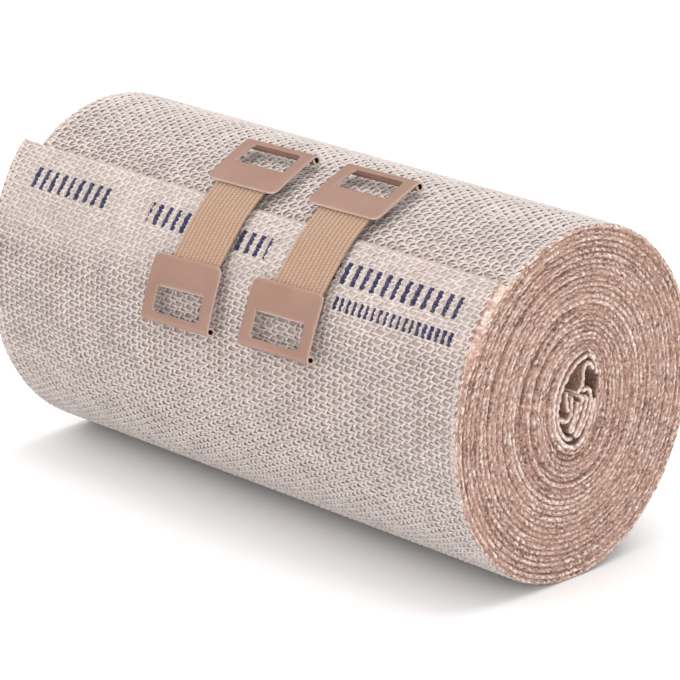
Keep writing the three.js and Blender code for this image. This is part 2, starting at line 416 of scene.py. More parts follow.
def blend_colour(tree, share, a, b, blend_type="MIX"):
    node = add_node(tree, "ShaderNodeMix", data_type="RGBA", blend_type=blend_type)
    for slot, value in ((0, share), (6, a), (7, b)):
        feed(tree, node.inputs[slot], value)
    return node.outputs[2]


def number_on(tree, key, output="Fac"):
    return add_node(tree, "ShaderNodeAttribute", attribute_name=key).outputs[output]


def map_range(tree, value, *bounds):
    return add_node(tree, "ShaderNodeMapRange", value, *bounds).outputs[0]


def roughen(tree, surface, height, strength, distance):
    bump = add_node(tree, "ShaderNodeBump")
    bump.inputs["Strength"].default_value = strength
    bump.inputs["Distance"].default_value = distance
    tree.links.new(height, bump.inputs["Height"])
    tree.links.new(bump.outputs["Normal"], surface.inputs["Normal"])


def new_finish(name, **dull):
    finish = bpy.data.materials.new(name)
    finish.use_nodes = True
    surface = finish.node_tree.nodes["Principled BSDF"]
    for key, value in dull.items():
        surface.inputs[key.replace("_", " ").title()].default_value = value
    return finish, finish.node_tree, surface


def speckle(tree, scale, detail=2.0, roughness=0.5):
    place = tree.nodes.new("ShaderNodeTexCoord").outputs["Object"]
    node = add_node(tree, "ShaderNodeTexNoise")
    tree.links.new(place, node.inputs["Vector"])
    node.inputs["Scale"].default_value = scale
    node.inputs["Detail"].default_value = detail
    node.inputs["Roughness"].default_value = roughness
    return node.outputs["Fac"]


def ink_marks(tree, x, arc):
    """1 where the band is printed."""
    marks = None
    for low_x, high_x, low_arc, high_arc, pitch, inked in INK_GROUPS:
        one = reckon(tree, "FRACT", reckon(tree, "DIVIDE", x, pitch))
        one = reckon(tree, "LESS_THAN", one, inked)
        for place, low, high in ((x, low_x, high_x), (arc, low_arc, high_arc)):
            one = reckon(tree, "MULTIPLY", one, reckon(tree, "GREATER_THAN", place, low))
            one = reckon(tree, "MULTIPLY", one, reckon(tree, "LESS_THAN", place, high))
        marks = one if marks is None else reckon(tree, "MAXIMUM", marks, one)
    return marks


def cotton_finish(name, colour, band_colour):
    """A new finish with the cotton's mottled colour, not yet inked, and its fuzz."""
    finish, tree, surface = new_finish(name, roughness=0.92, sheen_weight=0.15, sheen_roughness=0.6)
    surface.inputs["Specular IOR Level"].default_value = 0.25
    place = number_on(tree, "cloth_place", "Vector")
    x, arc, band = add_node(tree, "ShaderNodeSeparateXYZ", place).outputs
    cloud = speckle(tree, 260, 3, 0.6)
    fibre = speckle(tree, 3200, 2, 0.6)
    base = blend_colour(tree, band, colour, band_colour)
    mottled = map_range(tree, cloud, 0.3, 0.7, 0.9, 1.08)
    fuzz = map_range(tree, fibre, 0.3, 0.7, 0.92, 1.08)
    base = blend_colour(tree, 1.0, base, reckon(tree, "MULTIPLY", mottled, fuzz), "MULTIPLY")
    return finish, tree, surface, base, ink_marks(tree, x, arc), fibre


def finish_ground():
    finish, tree, surface, base, inked, fibre = cotton_finish(
        "cotton_ground", GROUND_COLOUR, GROUND_IN_BAND
    )
    tree.links.new(blend_colour(tree, inked, base, INK), surface.inputs["Base Color"])
    roughen(tree, surface, fibre, 0.5, FIBRE_RELIEF)
    return finish


def finish_yarn():
    finish, tree, surface, base, inked, fibre = cotton_finish(
        "cotton_yarn", YARN_COLOUR, YARN_IN_BAND
    )
    tone = map_range(tree, number_on(tree, "yarn_shade"), 0.0, 1.0, 0.88, 1.06)
    # Painted highlight and painted shade: lighter on the yarn's crown, darker on its sides and
    # under-passes.
    sides = map_range(tree, number_on(tree, "yarn_painted_light"), 0.0, 1.0, 0.68, 1.06)
    base = blend_colour(tree, 1.0, base, reckon(tree, "MULTIPLY", tone, sides), "MULTIPLY")
    inked = reckon(tree, "MULTIPLY", inked, WORN_INK)
    tree.links.new(blend_colour(tree, inked, base, INK), surface.inputs["Base Color"])
    roughen(tree, surface, fibre, 0.6, FIBRE_RELIEF)
    return finish


outer_turn.data.materials.append(finish_ground())
yarn_finish = finish_yarn()
for yarns in (lengthwise_yarns, crosswise_yarns):
    yarns.data.materials.append(yarn_finish)
for piece in (outer_turn, lengthwise_yarns, crosswise_yarns):
    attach(piece, "root")
    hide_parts("bandage_roll")


# The coiled edges. At each end of the roll one sees the cloth's own edge, wound nearly 25 times.
# The crosswise yarns turn back there in small loops, cream over reddish brown shadow, and the turns
# stand a little in or out.
# places across the thickness of the cloth
ACROSS = (0.0, 0.2, 0.4, 0.6, 0.8)
LOOP_PITCH = 1.33
LOOP_ROUND = 1.3
RIDGE_ROUND = 2.4
EDGE_DEEP = 0.32
TURN_STANDS = 0.16
STRAY_SPACING = 0.42
SKIRT = 1.7
SKIRT_HEIGHT = -0.46
SKIRT_CREST = 0.95
RIM_BACK = 0.35
RIM_HEIGHT = -0.28
INNER_BACK = 0.5
# A low level on the edge's colours: painted shade on the innermost turn's inner side, in the hollow.
INNER_SHADE_LEVEL = 0.1
BARED_LIGHTER = 0.45
CORE_LIGHTER, CORE_LIGHTER_FROM = 0.22, 23.75
COIL_MAP_HALF = 30
RING_STANDS = (
    # turns in, width in turns, how far out in mm
    (1.2, 0.5, 0.15),
    (5.6, 0.4, 0.18),
    (10.2, 0.5, 0.25),
    (14.4, 0.5, 0.3),
    (15.3, 0.35, -0.45),
    (17.1, 0.5, 0.35),
    (18.4, 0.4, -0.25),
    (20.1, 0.4, 0.25),
    (22.3, 0.4, -0.45),
    (24.2, 0.55, 0.45),
)
LIGHT_RINGS = np.array(
    [
        # turns in, how much lighter the cloth's edge is there
        (0, 0.2), (1, 0.5), (2, -0.6), (3, 0.4), (4, 0), (9, -0.3), (13.6, 0.2), (14.3, 1.0),
        (14.9, -1.2), (15.6, 0.4), (16.6, -1.0), (17.3, 1.0), (18.2, -0.4), (19, 0.4), (21, 0),
        (22.4, -0.9), (23.2, 0.5), (25, 1.2),
    ]
)


def along_noise(rng, arc, spacing):
    """Smooth chance numbers from -1 to 1 along a line, a new one at each spacing."""
    coarse = rng.uniform(-1, 1, int(arc[-1] / spacing) + 3)
    low = (arc / spacing).astype(int)
    share = arc / spacing - low
    share = share * share * (3 - 2 * share)
    return coarse[low] * (1 - share) + coarse[low + 1] * share


def coiled_edge(name, side, steps, seed):
    """The cloth's edge at one end of the roll, with so many steps a turn."""
    rng = np.random.default_rng(seed)
    rng_rings = np.random.default_rng(seed + 1)
    count = int(WOUND_TURNS * steps) + 1
    turns = np.arange(count) / steps
    arc = length_along(*wound_place(turns, -CLOTH / 2))
    # How far each place stands out of the end of the roll.
    stand = 0.13 * along_noise(rng, arc, 14) + 0.08 * along_noise(rng, arc, 4)
    stand += np.interp(turns, np.arange(30), rng.uniform(-TURN_STANDS, TURN_STANDS, 30))
    for middle, width, amount in RING_STANDS:
        ring = amount * np.exp(-(((turns - middle) / width) ** 2))
        stand += ring * (0.7 + 0.5 * along_noise(rng, arc, 20))
    free = (-SET_BACK if side > 0 else OVERHANG) * askew(turns) * (turns < 0.5)
    # The loops: where each one is, how it leans, how high it is and how it strays.
    pace = arc / LOOP_PITCH + 0.45 * along_noise(rng, arc, 5) + 0.15 * along_noise(rng, arc, 1.6)
    lean = 1.3 * along_noise(rng, arc, 6)
    grow = 0.55 + 0.45 * along_noise(rng, arc, 2.2)
    drift = 0.06 * along_noise(rng, arc, 7) + 0.03 * along_noise(rng, arc, 1.3)
    outer_stand = np.concatenate([stand[:steps], stand[: count - steps]])
    points = np.zeros((count, len(ACROSS), 3))
    crest = np.zeros((count, len(ACROSS)))
    for m, w in enumerate(ACROSS):
        ridge = 1 - abs(2 * w - 1) ** RIDGE_ROUND
        loop = (0.5 + 0.5 * np.cos(2 * np.pi * (pace + lean * (w - 0.5)))) ** LOOP_ROUND
        stray = along_noise(rng, arc, STRAY_SPACING)
        thread = np.clip((stray - 0.2) / 0.35, 0, 1)
        pit = np.clip((-stray - 0.42) / 0.3, 0, 1)
        high = ridge * (0.5 + 0.36 * loop * grow + 0.14 * thread - 0.25 * pit)
        high += rng.normal(0, 0.04, count) * (0.3 + 0.7 * ridge)
        out = stand + free
        height = -CLOTH * w + drift + 0.05 * ridge * np.sin(2 * np.pi * pace)
        if m == 0:
            out = np.minimum(stand, outer_stand)
            out[:steps] = (stand + free)[:steps] + EDGE_DEEP - RIM_BACK
            height[:steps] = RIM_HEIGHT
        points[:, m, 0] = side * (HALF_WIDTH + out - EDGE_DEEP * (1 - high))
        points[:, m, 1], points[:, m, 2] = wound_place(turns, height)
        # The edge's colour level follows the loops' height: painted shade in the low places between
        # loops and between turns and in the pits, lighter on the loop tips; the cream threads are
        # the yarn's own.
        valley = 0.34 - 0.34 * np.clip(0.35 + 0.65 * along_noise(rng_rings, arc, 16), 0, 1)
        crest[:, m] = np.maximum(high, valley) + 0.26 * thread * (0.4 + 0.6 * ridge) - 0.25 * pit
        crest[:, m] += 0.16 * np.interp(turns, *LIGHT_RINGS.T) * ridge
    rim_loop = np.cos(2 * np.pi * pace[:steps]) + 0.4 * rng_rings.normal(0, 1, steps)
    crest[:steps, 0] = 0.62 + 0.38 * rim_loop
    # Beside the free end, which lies askew, the face of the turn below shows.
    bared = askew(turns) * (turns < 0.5)
    crest[:, -1] += BARED_LIGHTER * bared
    crest[steps:, 0] += BARED_LIGHTER * bared[:-steps]
    crest += CORE_LIGHTER * np.clip((turns - CORE_LIGHTER_FROM) / 0.3, 0, 1)[:, None]
    # The inner side of the innermost turn, and a skirt that runs in under the outermost yarns.
    iy, iz = wound_place(turns[count - steps :], -CLOTH)
    inner_x = side * (HALF_WIDTH - INNER_BACK + stand[count - steps :])
    inner_points = np.stack([inner_x, iy, iz], 1)
    sy, sz = wound_place(turns[: steps + 1], SKIRT_HEIGHT)
    skirt_x = side * (HALF_WIDTH + free[: steps + 1] - SKIRT)
    skirt_points = np.stack([skirt_x, sy, sz], 1)
    all_points = np.concatenate([points.reshape(-1, 3), inner_points, skirt_points])
    below_crest = [np.full(steps, INNER_SHADE_LEVEL), np.full(steps + 1, SKIRT_CREST)]
    all_crest = np.concatenate([crest.ravel(), *below_crest])
    n, s = np.arange(count - 1), np.arange(steps)
    width = len(ACROSS)

    def at(n, m):
        """The number of the point at step n and place m across, or of the turn below's."""
        if m < width:
            return n * width + m
        after = n + steps
        return np.where(after < count, after * width, count * width + (after - count))

    faces = []
    for m in range(width):
        faces.append(np.stack([at(n, m), at(n, m + 1), at(n + 1, m + 1), at(n + 1, m)], 1))
    skirt_first = count * width + steps
    faces.append(np.stack([skirt_first + s, at(s, 0), at(s + 1, 0), skirt_first + s + 1], 1))
    faces = np.concatenate(faces)
    if side > 0:
        faces = faces[:, ::-1]
    tone = np.interp(turns, np.arange(31), rng.uniform(-1, 1, 31))
    tone = tone + 0.6 * along_noise(rng, arc, 9)
    tone = np.concatenate([np.repeat(tone, width), np.zeros(2 * steps + 1)])
    numbers = [("edge_shade_and_thread_level", all_crest), ("edge_tone", tone), ("edge_painted_shade", np.zeros(len(tone)))]
    seen_flat = all_points[:, 1:] - (0, AXIS_HEIGHT)
    bake = (seen_flat + COIL_MAP_HALF) / (2 * COIL_MAP_HALF)
    return cloth_mesh(name, all_points, faces, numbers, bake), inner_points


coil_right, inner_right = coiled_edge("bandage_coil_right", 1, 780, 11)
coil_left, inner_left = coiled_edge("bandage_coil_left", -1, 520, 23)


EDGE_COLOURS = (
    # from the deepest shadow to the tips of the loops
    (0.0, (0.135, 0.065, 0.048, 1)),
    (0.3, (0.32, 0.185, 0.143, 1)),
    (0.6, (0.475, 0.32, 0.262, 1)),
    (0.85, (0.65, 0.51, 0.445, 1)),
    (1.0, (0.80, 0.71, 0.65, 1)),
)
WARM_COLOUR = (0.50, 0.30, 0.225, 1)
# Painted shade, near black, for the hollow's wall and the sides of the loose strips.
PAINTED_SHADE_COLOUR = (0.045, 0.026, 0.02, 1)


def finish_edge():
    finish, tree, surface = new_finish(
        "cotton_edge", roughness=0.95, sheen_weight=0.12, sheen_roughness=0.6
    )
    surface.inputs["Specular IOR Level"].default_value = 0.2
    grain = speckle(tree, 2900, 2, 0.6)
    cloud = speckle(tree, 220, 2, 0.5)
    uneven = reckon(tree, "MULTIPLY", reckon(tree, "SUBTRACT", grain, 0.5), 1.35)
    # The level runs from painted shade at its low end to the loops' tips at its high end.
    level = reckon(tree, "ADD", number_on(tree, "edge_shade_and_thread_level"), uneven)
    tone = reckon(tree, "MULTIPLY", number_on(tree, "edge_tone"), 0.09)
    level = reckon(tree, "ADD", level, tone)
    ramp = tree.nodes.new("ShaderNodeValToRGB")
    stops = ramp.color_ramp.elements
    stops[0].color, stops[1].color = EDGE_COLOURS[0][1], EDGE_COLOURS[-1][1]
    for position, colour in EDGE_COLOURS[1:-1]:
        stops.new(position).color = colour
    tree.links.new(level, ramp.inputs["Fac"])
    warm = map_range(tree, cloud, 0.4, 0.62, 0.0, 0.3)
    base = blend_colour(tree, warm, ramp.outputs["Color"], WARM_COLOUR)
    # Painted shade: near black on the hollow's wall and on the loose strips' sides.
    base = blend_colour(tree, number_on(tree, "edge_painted_shade"), base, PAINTED_SHADE_COLOUR)
    tree.links.new(base, surface.inputs["Base Color"])
    roughen(tree, surface, grain, 0.6, 0.00015)
    return finish


edge_finish = finish_edge()
for coil in (coil_right, coil_left):
    coil.data.materials.append(edge_finish)
    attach(coil, "root")
    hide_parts("bandage_roll")


# The hollow and the inner end. The cloth was started on a flat fold, whose inner end lies loose
# in the hollow at the middle of the roll, bent back on itself.
TAIL_THICK = 0.8
TAIL_STEP = 0.26
TAIL_OUT = 0.15
TAIL_DEEP = 0.45
TAIL_TONE = 0.8
# How much painted shade darkens the sides of the loose strips.
TAIL_SIDE_PAINTED_SHADE = 0.3
HOLLOW_STATIONS = 9
# How much painted shade darkens the hollow's wall, away from its ends.
HOLLOW_PAINTED_SHADE = 0.9
# A low level on the edge's colours: painted shade on the hollow's wall.
HOLLOW_SHADE_LEVEL = 0.12
# y and height over the roll's axis of the middle of each strip
INNER_STRIPS = {
    "bandage_inner_end": (
        (1.9, 6.95), (-0.2, 6.2), (-2.25, 4.35), (-3.45, 2.05), (-3.85, -0.4), (-3.25, -3.05),
        (-1.7, -4.9), (-0.4, -5.3),
    ),
    "bandage_inner_side": ((2.6, 7.0), (3.4, 6.3), (4.0, 5.4), (4.4, 4.4), (4.45, 3.5)),
    "bandage_inner_arch": (
        (3.45, 4.6), (2.85, 5.45), (1.95, 5.65), (1.35, 5.05), (1.25, 4.0), (1.15, 3.0),
        (0.7, 2.2), (0.0, 1.75),
    ),
    "bandage_inner_fold": (
        (1.6, 1.6), (2.6, 1.65), (3.1, 0.7), (2.6, -1.4), (2.0, -3.05), (1.25, -4.35), (0.6, -5.05),
        (0.05, -4.7), (0.5, -3.9), (1.2, -2.7), (1.75, -1.2), (2.15, 0.1), (1.75, 0.7),
    ),
    "bandage_inner_lap": (
        (0.6, 1.15), (1.2, 0.5), (0.95, -0.9), (0.4, -2.35), (-0.25, -3.45), (-0.75, -4.0),
        (-1.15, -3.6), (-0.45, -2.2), (0.15, -0.9), (0.35, 0.2),
    ),
    "bandage_inner_hook": (
        (-3.3, -1.5), (-2.5, -2.05), (-1.5, -1.95), (-0.8, -1.15), (-0.7, 0.1), (-0.9, 1.3),
    ),
    "bandage_inner_tip": ((-1.75, 2.1), (-1.85, 1.2), (-1.7, 0.1), (-1.6, -0.8)),
}


def smooth_line(knots, step):
    """Points at even steps along a smooth line through the knots."""
    knots = np.asarray(knots, float)
    ends = np.concatenate([[2 * knots[0] - knots[1]], knots, [2 * knots[-1] - knots[-2]]])
    line = []
    for a, b, c, d in zip(ends, ends[1:], ends[2:], ends[3:]):
        t = np.linspace(0, 1, 40, endpoint=False)[:, None]
        bend, twist = 2 * a - 5 * b + 4 * c - d, 3 * b - a - 3 * c + d
        line.append(0.5 * (2 * b + (c - a) * t + bend * t**2 + twist * t**3))
    line = np.concatenate(line + [knots[-1:]])
    length = length_along(*line.T)
    places = np.linspace(0, length[-1], max(2, int(round(length[-1] / step)) + 1))
    return np.stack([np.interp(places, length, part) for part in line.T], 1), places


def square_to(line):
    """The direction square to a line at each of its points."""
    way = np.gradient(line, axis=0)
    way /= np.linalg.norm(way, axis=1)[:, None]
    return np.stack([-way[:, 1], way[:, 0]], 1)


def folded_strip(name, knots, seed):
    """A loose strip of the inner end, standing on its edge from one end of the roll to the other."""
    rng = np.random.default_rng(seed)
    line, places = smooth_line(knots, TAIL_STEP)
    aside = square_to(line)
    count = len(line)
    across = np.array([-0.5, -0.25, 0.0, 0.25, 0.5])
    rings, crests, side_shades = [], [], []
    for side in (1, -1):
        stand = 0.3 * along_noise(rng, places, 4) - 0.1
        pace = places / LOOP_PITCH + 0.3 * along_noise(rng, places, 2)
        loop = (0.5 + 0.5 * np.cos(2 * np.pi * pace)) ** LOOP_ROUND
        for w in across if side > 0 else across[::-1]:
            ridge = 1 - abs(2 * w) ** RIDGE_ROUND
            high = ridge * (0.5 + 0.36 * loop + 0.2 * along_noise(rng, places, 0.5))
            spot = line + aside * (TAIL_THICK * w)
            x = side * (HALF_WIDTH + TAIL_OUT + stand - TAIL_DEEP * (1 - high))
            rings.append(np.stack([x, spot[:, 0], spot[:, 1] + AXIS_HEIGHT], 1))
            # Painted light: the strip's edge is lighter on the loop tips and darker between them,
            # and its sides, in the hollow, get painted shade.
            crests.append(0.2 + high)
            side_shades.append(np.full(count, TAIL_SIDE_PAINTED_SHADE * (ridge == 0)))
    ring = len(rings)
    points = np.stack(rings, 1).reshape(-1, 3)
    r, c = np.meshgrid(np.arange(count - 1), np.arange(ring), indexing="ij")
    a, b = (r * ring + c).ravel(), (r * ring + (c + 1) % ring).ravel()
    faces = np.stack([a, b, b + ring, a + ring], 1)
    numbers = [
        ("edge_shade_and_thread_level", np.stack(crests, 1).ravel()),
        ("edge_tone", np.full(len(points), TAIL_TONE)),
        ("edge_painted_shade", np.stack(side_shades, 1).ravel()),
    ]
    piece = cloth_mesh(name, points, faces, numbers)
    shell = bmesh.new()
    shell.from_mesh(piece.data)
    bmesh.ops.holes_fill(shell, edges=shell.edges, sides=0)
    bmesh.ops.recalc_face_normals(shell, faces=shell.faces)
    shell.to_mesh(piece.data)
    shell.free()
    return piece


def hollow_wall():
    """The side of the hollow, from one end of the roll to the other, painted dark as shade but for
    its ends.
    """
    steps, stations = len(inner_left), HOLLOW_STATIONS
    count = steps * stations
    shares = np.linspace(0, 1, stations)
    on_right = np.linspace(0, len(inner_right) - 1, steps).astype(int)
    start, end = inner_left[:, None], inner_right[on_right][:, None]
    points = start * (1 - shares)[None, :, None] + end * shares[None, :, None]
    faces = grid_faces(steps, stations)[:, ::-1]
    first, last = np.arange(stations - 1), count - stations + np.arange(stations - 1)
    closing = np.stack([last + 1, first + 1, first, last], 1)
    numbers = [
        ("edge_shade_and_thread_level", np.full(count, HOLLOW_SHADE_LEVEL)),
        ("edge_tone", np.zeros(count)),
        ("edge_painted_shade", np.tile(HOLLOW_PAINTED_SHADE * (1 - abs(2 * shares - 1) ** 20), steps)),
    ]
    return cloth_mesh(
        "bandage_hollow_wall", points.reshape(-1, 3), np.concatenate([faces, closing]), numbers
    )


inner_pieces = [
    folded_strip(name, knots, seed) for seed, (name, knots) in enumerate(INNER_STRIPS.items(), 5)
]
inner_pieces.append(hollow_wall())
for piece in inner_pieces:
    piece.data.materials.append(edge_finish)
    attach(piece, "root")
    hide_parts("bandage_roll")


# The clip plates. Each is pressed from thin sheet steel painted skin colour: a windowed plate with
# rounded corners, its far end rolled down into an open curl. The tongue cut out of the window is
# bent under and holds the webbing.
PLATE_WIDTH = 14.2
PLATE_HALF = 5.15
PLATE_TOP = 1.9
PLATE_BEND = 70.0
SHEET = 0.35
WINDOW_SIDE = 5.0
WINDOW_NEAR = -0.95
WINDOW_FAR = 3.65
CUTS_ACROSS = (-WINDOW_SIDE, -3.7, 0.0, 3.7, WINDOW_SIDE)
CUTS_ALONG = (-2.9, WINDOW_NEAR, 0.3, 1.4, 2.4, WINDOW_FAR)
TONGUE_STEPS = (
    # outwards and upwards, in mm
    (0.3, -0.08), (0.2, -0.25), (0.0, -0.28), (-0.2, -0.23), (-0.45, -0.14), (-1.1, -0.04),
    (-1.1, -0.03),
)
CURL_HALF_DEPTH = 0.74
CURL_HALF_HEIGHT = 0.86
CURL_STEP = 36
CURL_STEPS = 9
EDGE_ROUNDING = 0.08
# Up to where along the plate the side faces get the painted highlight.
LIT_SIDE_UP_TO = 3.3
# How far into the curl the painted shade reaches.
CURL_SHADE_WITHIN = 0.66
MEAN_RADIUS = (HALF_DEPTH + HALF_HEIGHT) / 2
PLATES = {
    # x and arc above the front in mm, degrees askew, degrees that the far end is lifted, and 1
    # for a far end that points up the roll or -1 for one that points down
    "clip_left_lower_plate": (-5.65, 8.82, 2.4, 3.5, -1),
    "clip_left_upper_plate": (-4.75, 31.15, 1.6, 1.2, 1),
    "clip_right_lower_plate": (15.2, 9.66, 1.6, 3.5, -1),
    "clip_right_upper_plate": (15.8, 31.9, 1.4, 1.2, 1),
}


def edit(piece):
    bpy.ops.object.select_all(action="DESELECT")
    bpy.context.view_layer.objects.active = piece
    piece.select_set(True)
    bpy.ops.object.mode_set(mode="EDIT")
    bpy.ops.mesh.select_mode(type="VERT")


def select_where(piece, test, kind):
    """Selects the edges or faces that lie where test says, by their corners in mm."""
    bpy.ops.mesh.select_mode(type=kind)
    shape = bmesh.from_edit_mesh(piece.data)
    for group in (shape.faces, shape.edges, shape.verts):
        for item in group:
            item.select = False
    for item in shape.edges if kind == "EDGE" else shape.faces:
        if all(test(v.co / MM) for v in item.verts):
            item.select_set(True)
    shape.select_flush_mode()
    bmesh.update_edit_mesh(piece.data)


def extrude_by(step):
    move = {"value": Vector((0, step[0], step[1])) * MM}
    bpy.ops.mesh.extrude_region_move(TRANSFORM_OT_translate=move)


def make_plate():
    """The plate in its own frame: x across, y to the far end, z up from the cloth."""
    hair = 0.01
    end = PLATE_HALF - CURL_HALF_DEPTH
    bpy.ops.object.select_all(action="DESELECT")
    bpy.ops.mesh.primitive_plane_add(size=1, location=(0, 0, (PLATE_TOP - SHEET / 2) * MM))
    plate = bpy.context.object
    edit(plate)
    bpy.ops.mesh.select_all(action="SELECT")
    bpy.ops.transform.resize(value=(PLATE_WIDTH * MM, (end + PLATE_HALF) * MM, 1))
    bpy.ops.transform.translate(value=(0, (end - PLATE_HALF) / 2 * MM, 0))
    bpy.ops.object.mode_set(mode="OBJECT")
    bpy.ops.object.transform_apply(location=True, rotation=False, scale=False)
    edit(plate)
    for x in CUTS_ACROSS:
        bpy.ops.mesh.select_all(action="SELECT")
        bpy.ops.mesh.bisect(plane_co=(x * MM, 0, 0), plane_no=(1, 0, 0))
    for y in CUTS_ALONG:
        bpy.ops.mesh.select_all(action="SELECT")
        bpy.ops.mesh.bisect(plane_co=(0, y * MM, 0), plane_no=(0, 1, 0))
    inside, near, far = WINDOW_SIDE + hair, WINDOW_NEAR - hair, WINDOW_FAR + hair
    select_where(plate, lambda c: abs(c.x) < inside and near < c.y < far, "FACE")
    bpy.ops.mesh.delete(type="FACE")
    # The tongue, from the window's near side down and back under the plate.
    select_where(plate, lambda c: abs(c.x) < inside and abs(c.y - WINDOW_NEAR) < hair, "EDGE")
    for step in TONGUE_STEPS:
        extrude_by(step)
    # The curl, down from the far side and round.
    select_where(plate, lambda c: abs(c.y - end) < hair and c.z > PLATE_TOP - SHEET, "EDGE")
    deep, high = CURL_HALF_DEPTH - SHEET / 2, CURL_HALF_HEIGHT - SHEET / 2
    sweep = [math.radians(90 - CURL_STEP * k) for k in range(CURL_STEPS + 1)]
    for a, b in zip(sweep, sweep[1:]):
        extrude_by((deep * (math.cos(b) - math.cos(a)), high * (math.sin(b) - math.sin(a))))
    bpy.ops.object.mode_set(mode="OBJECT")
    for kind, settings in (
        ("SUBSURF", {"levels": 2, "render_levels": 2}),
        ("SOLIDIFY", {"thickness": SHEET * MM, "offset": 0.0, "use_even_offset": True}),
        ("BEVEL", {"width": EDGE_ROUNDING * MM, "segments": 2, "limit_method": "ANGLE",
                   "angle_limit": math.radians(55)}),
    ):
        modifier = plate.modifiers.new(kind.lower(), kind)
        for key, value in settings.items():
            setattr(modifier, key, value)
        bpy.ops.object.modifier_apply(modifier=modifier.name)
    # Painted highlight on the sheet's side faces, its sheared edges, and painted shade, near black,
    # inside the curl.
    lit_side, curl_shade = [], []
    for f in plate.data.polygons:
        on_side = abs(f.normal.x) > 0.5 or f.center.y < LIT_SIDE_UP_TO * MM
        lit_side.append(float(abs(f.normal.z) < 0.75 and on_side))
        outwards = (f.center.y / MM - end) / deep
        upwards = (f.center.z / MM - (PLATE_TOP - CURL_HALF_HEIGHT)) / high
        in_curl = f.center.y > (end - deep) * MM and outwards**2 + upwards**2 < CURL_SHADE_WITHIN
        curl_shade.append(float(in_curl))
    for key, values in (("lit_side", lit_side), ("curl_shade", curl_shade)):
        plate.data.attributes.new(key, "FLOAT", "FACE").data.foreach_set("value", values)
    for v in plate.data.vertices:
        v.co.z -= (v.co.y / MM) ** 2 / (2 * PLATE_BEND) * MM
    bpy.ops.object.shade_smooth_by_angle(angle=math.radians(40))
    return plate


def plate_seat(x, arc, turned, lifted, facing):
    """Where a plate sits on the roll, as a matrix in mm."""
    turns = (CUT_ANGLE - math.degrees(arc / MEAN_RADIUS)) / 360
    turns = turns if turns >= 0 else turns + 1
    y, z = (float(v) for v in wound_place(np.array(turns), 0.0))
    next_y, next_z = (float(v) for v in wound_place(np.array(turns - 0.0005), 0.0))
    along = Vector((0, next_y - y, next_z - z)).normalized()
    outwards = Vector((1, 0, 0)).cross(along)
    seat = Matrix.Identity(4)
    for k, axis in enumerate((Vector((facing, 0, 0)), along * facing, outwards)):
        for r in range(3):
            seat[r][k] = axis[r]
    seat.translation = Vector((x, y, z))
    turn = Matrix.Rotation(math.radians(turned), 4, "Z")
    lift = Matrix.Translation((0, 0, PLATE_TOP)) @ Matrix.Rotation(math.radians(lifted), 4, "X")
    return seat @ turn @ lift @ Matrix.Translation((0, 0, -PLATE_TOP))


PAINT_DEEP, PAINT_PALE = (0.295, 0.167, 0.125, 1), (0.325, 0.192, 0.145, 1)
SCUFF_COLOUR = (0.16, 0.085, 0.07, 1)
# Painted highlight for the sheet's side faces.
LIT_SIDE_COLOUR = (0.72, 0.58, 0.52, 1)
# Painted shade, near black, inside the curl.
CURL_SHADE_COLOUR = (0.035, 0.022, 0.018, 1)


def finish_paint():
    finish, tree, surface = new_finish(
        "plate_paint", metallic=0.35, coat_weight=0.1, coat_roughness=0.25
    )
    cloud = speckle(tree, 160, 2, 0.5)
    scuff = speckle(tree, 1300, 3, 0.6)
    share = map_range(tree, cloud, 0.3, 0.7, 0.0, 1.0)
    base = blend_colour(tree, share, PAINT_DEEP, PAINT_PALE)
    worn = map_range(tree, scuff, 0.70, 0.76, 0.0, 0.3)
    base = blend_colour(tree, worn, base, SCUFF_COLOUR)
    # Painted highlight: the side faces of the sheet are painted lighter.
    lit_share = reckon(tree, "MULTIPLY", number_on(tree, "lit_side"), 0.7)
    base = blend_colour(tree, lit_share, base, LIT_SIDE_COLOUR)
    # Painted shade: the inside of the curl is painted near black.
    base = blend_colour(tree, number_on(tree, "curl_shade"), base, CURL_SHADE_COLOUR)
    tree.links.new(base, surface.inputs["Base Color"])
    rough = map_range(tree, scuff, 0.3, 0.7, 0.34, 0.42)
    tree.links.new(rough, surface.inputs["Roughness"])
    roughen(tree, surface, scuff, 0.15, 0.00002)
    return finish


plate_master = make_plate()
paint = finish_paint()
for node, place in PLATES.items():
    plate = bpy.data.objects.new(node + "_pressed", plate_master.data.copy())
    bpy.context.scene.collection.objects.link(plate)
    seat = plate_seat(*place)
    to_mm = Matrix.Scale(1 / MM, 4)
    plate.data.transform(Matrix.Scale(MM, 4) @ seat @ to_mm)
    plate.data.materials.clear()
    plate.data.materials.append(paint)
    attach(plate, "root")
    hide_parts(node)
bpy.data.objects.remove(plate_master)


# The webbing. A strip of ribbed elastic, 10 mm wide, joins the two plates of a clip. It is woven
# in lengthwise ribs with fine crosswise stitches, pulled tight from plate to plate.
WEBBING_HALF = 5.0
WEBBING_THICK = 0.5
RIBS = 13
RIB_POINTS = 8
STITCH_PITCH = 0.5
RIB_RELIEF, STITCH_RELIEF, FUZZ_RELIEF = 0.05, 0.05, 0.014
SELVEDGE, SELVEDGE_THINNER = 0.07, 0.12
ELASTIC_MAP = (22, 60)
POCKET = 1.16
POCKET_MOUTH = 1.6
POCKET_DEEP = 3.2
WEBBING_HEIGHT = 0.6
# The webbing's colour runs from painted shade in the grooves to the pale tops of ribs and stitches.
ELASTIC_GROOVE_SHADE, ELASTIC_PALE = (0.21, 0.12, 0.072, 1), (0.50, 0.335, 0.24, 1)
WEBBINGS = {
    # x of its middle, and the plates at its ends
    "clip_left_webbing": (-4.9, "clip_left_lower_plate", "clip_left_upper_plate"),
    "clip_right_webbing": (16.3, "clip_right_lower_plate", "clip_right_upper_plate"),
}


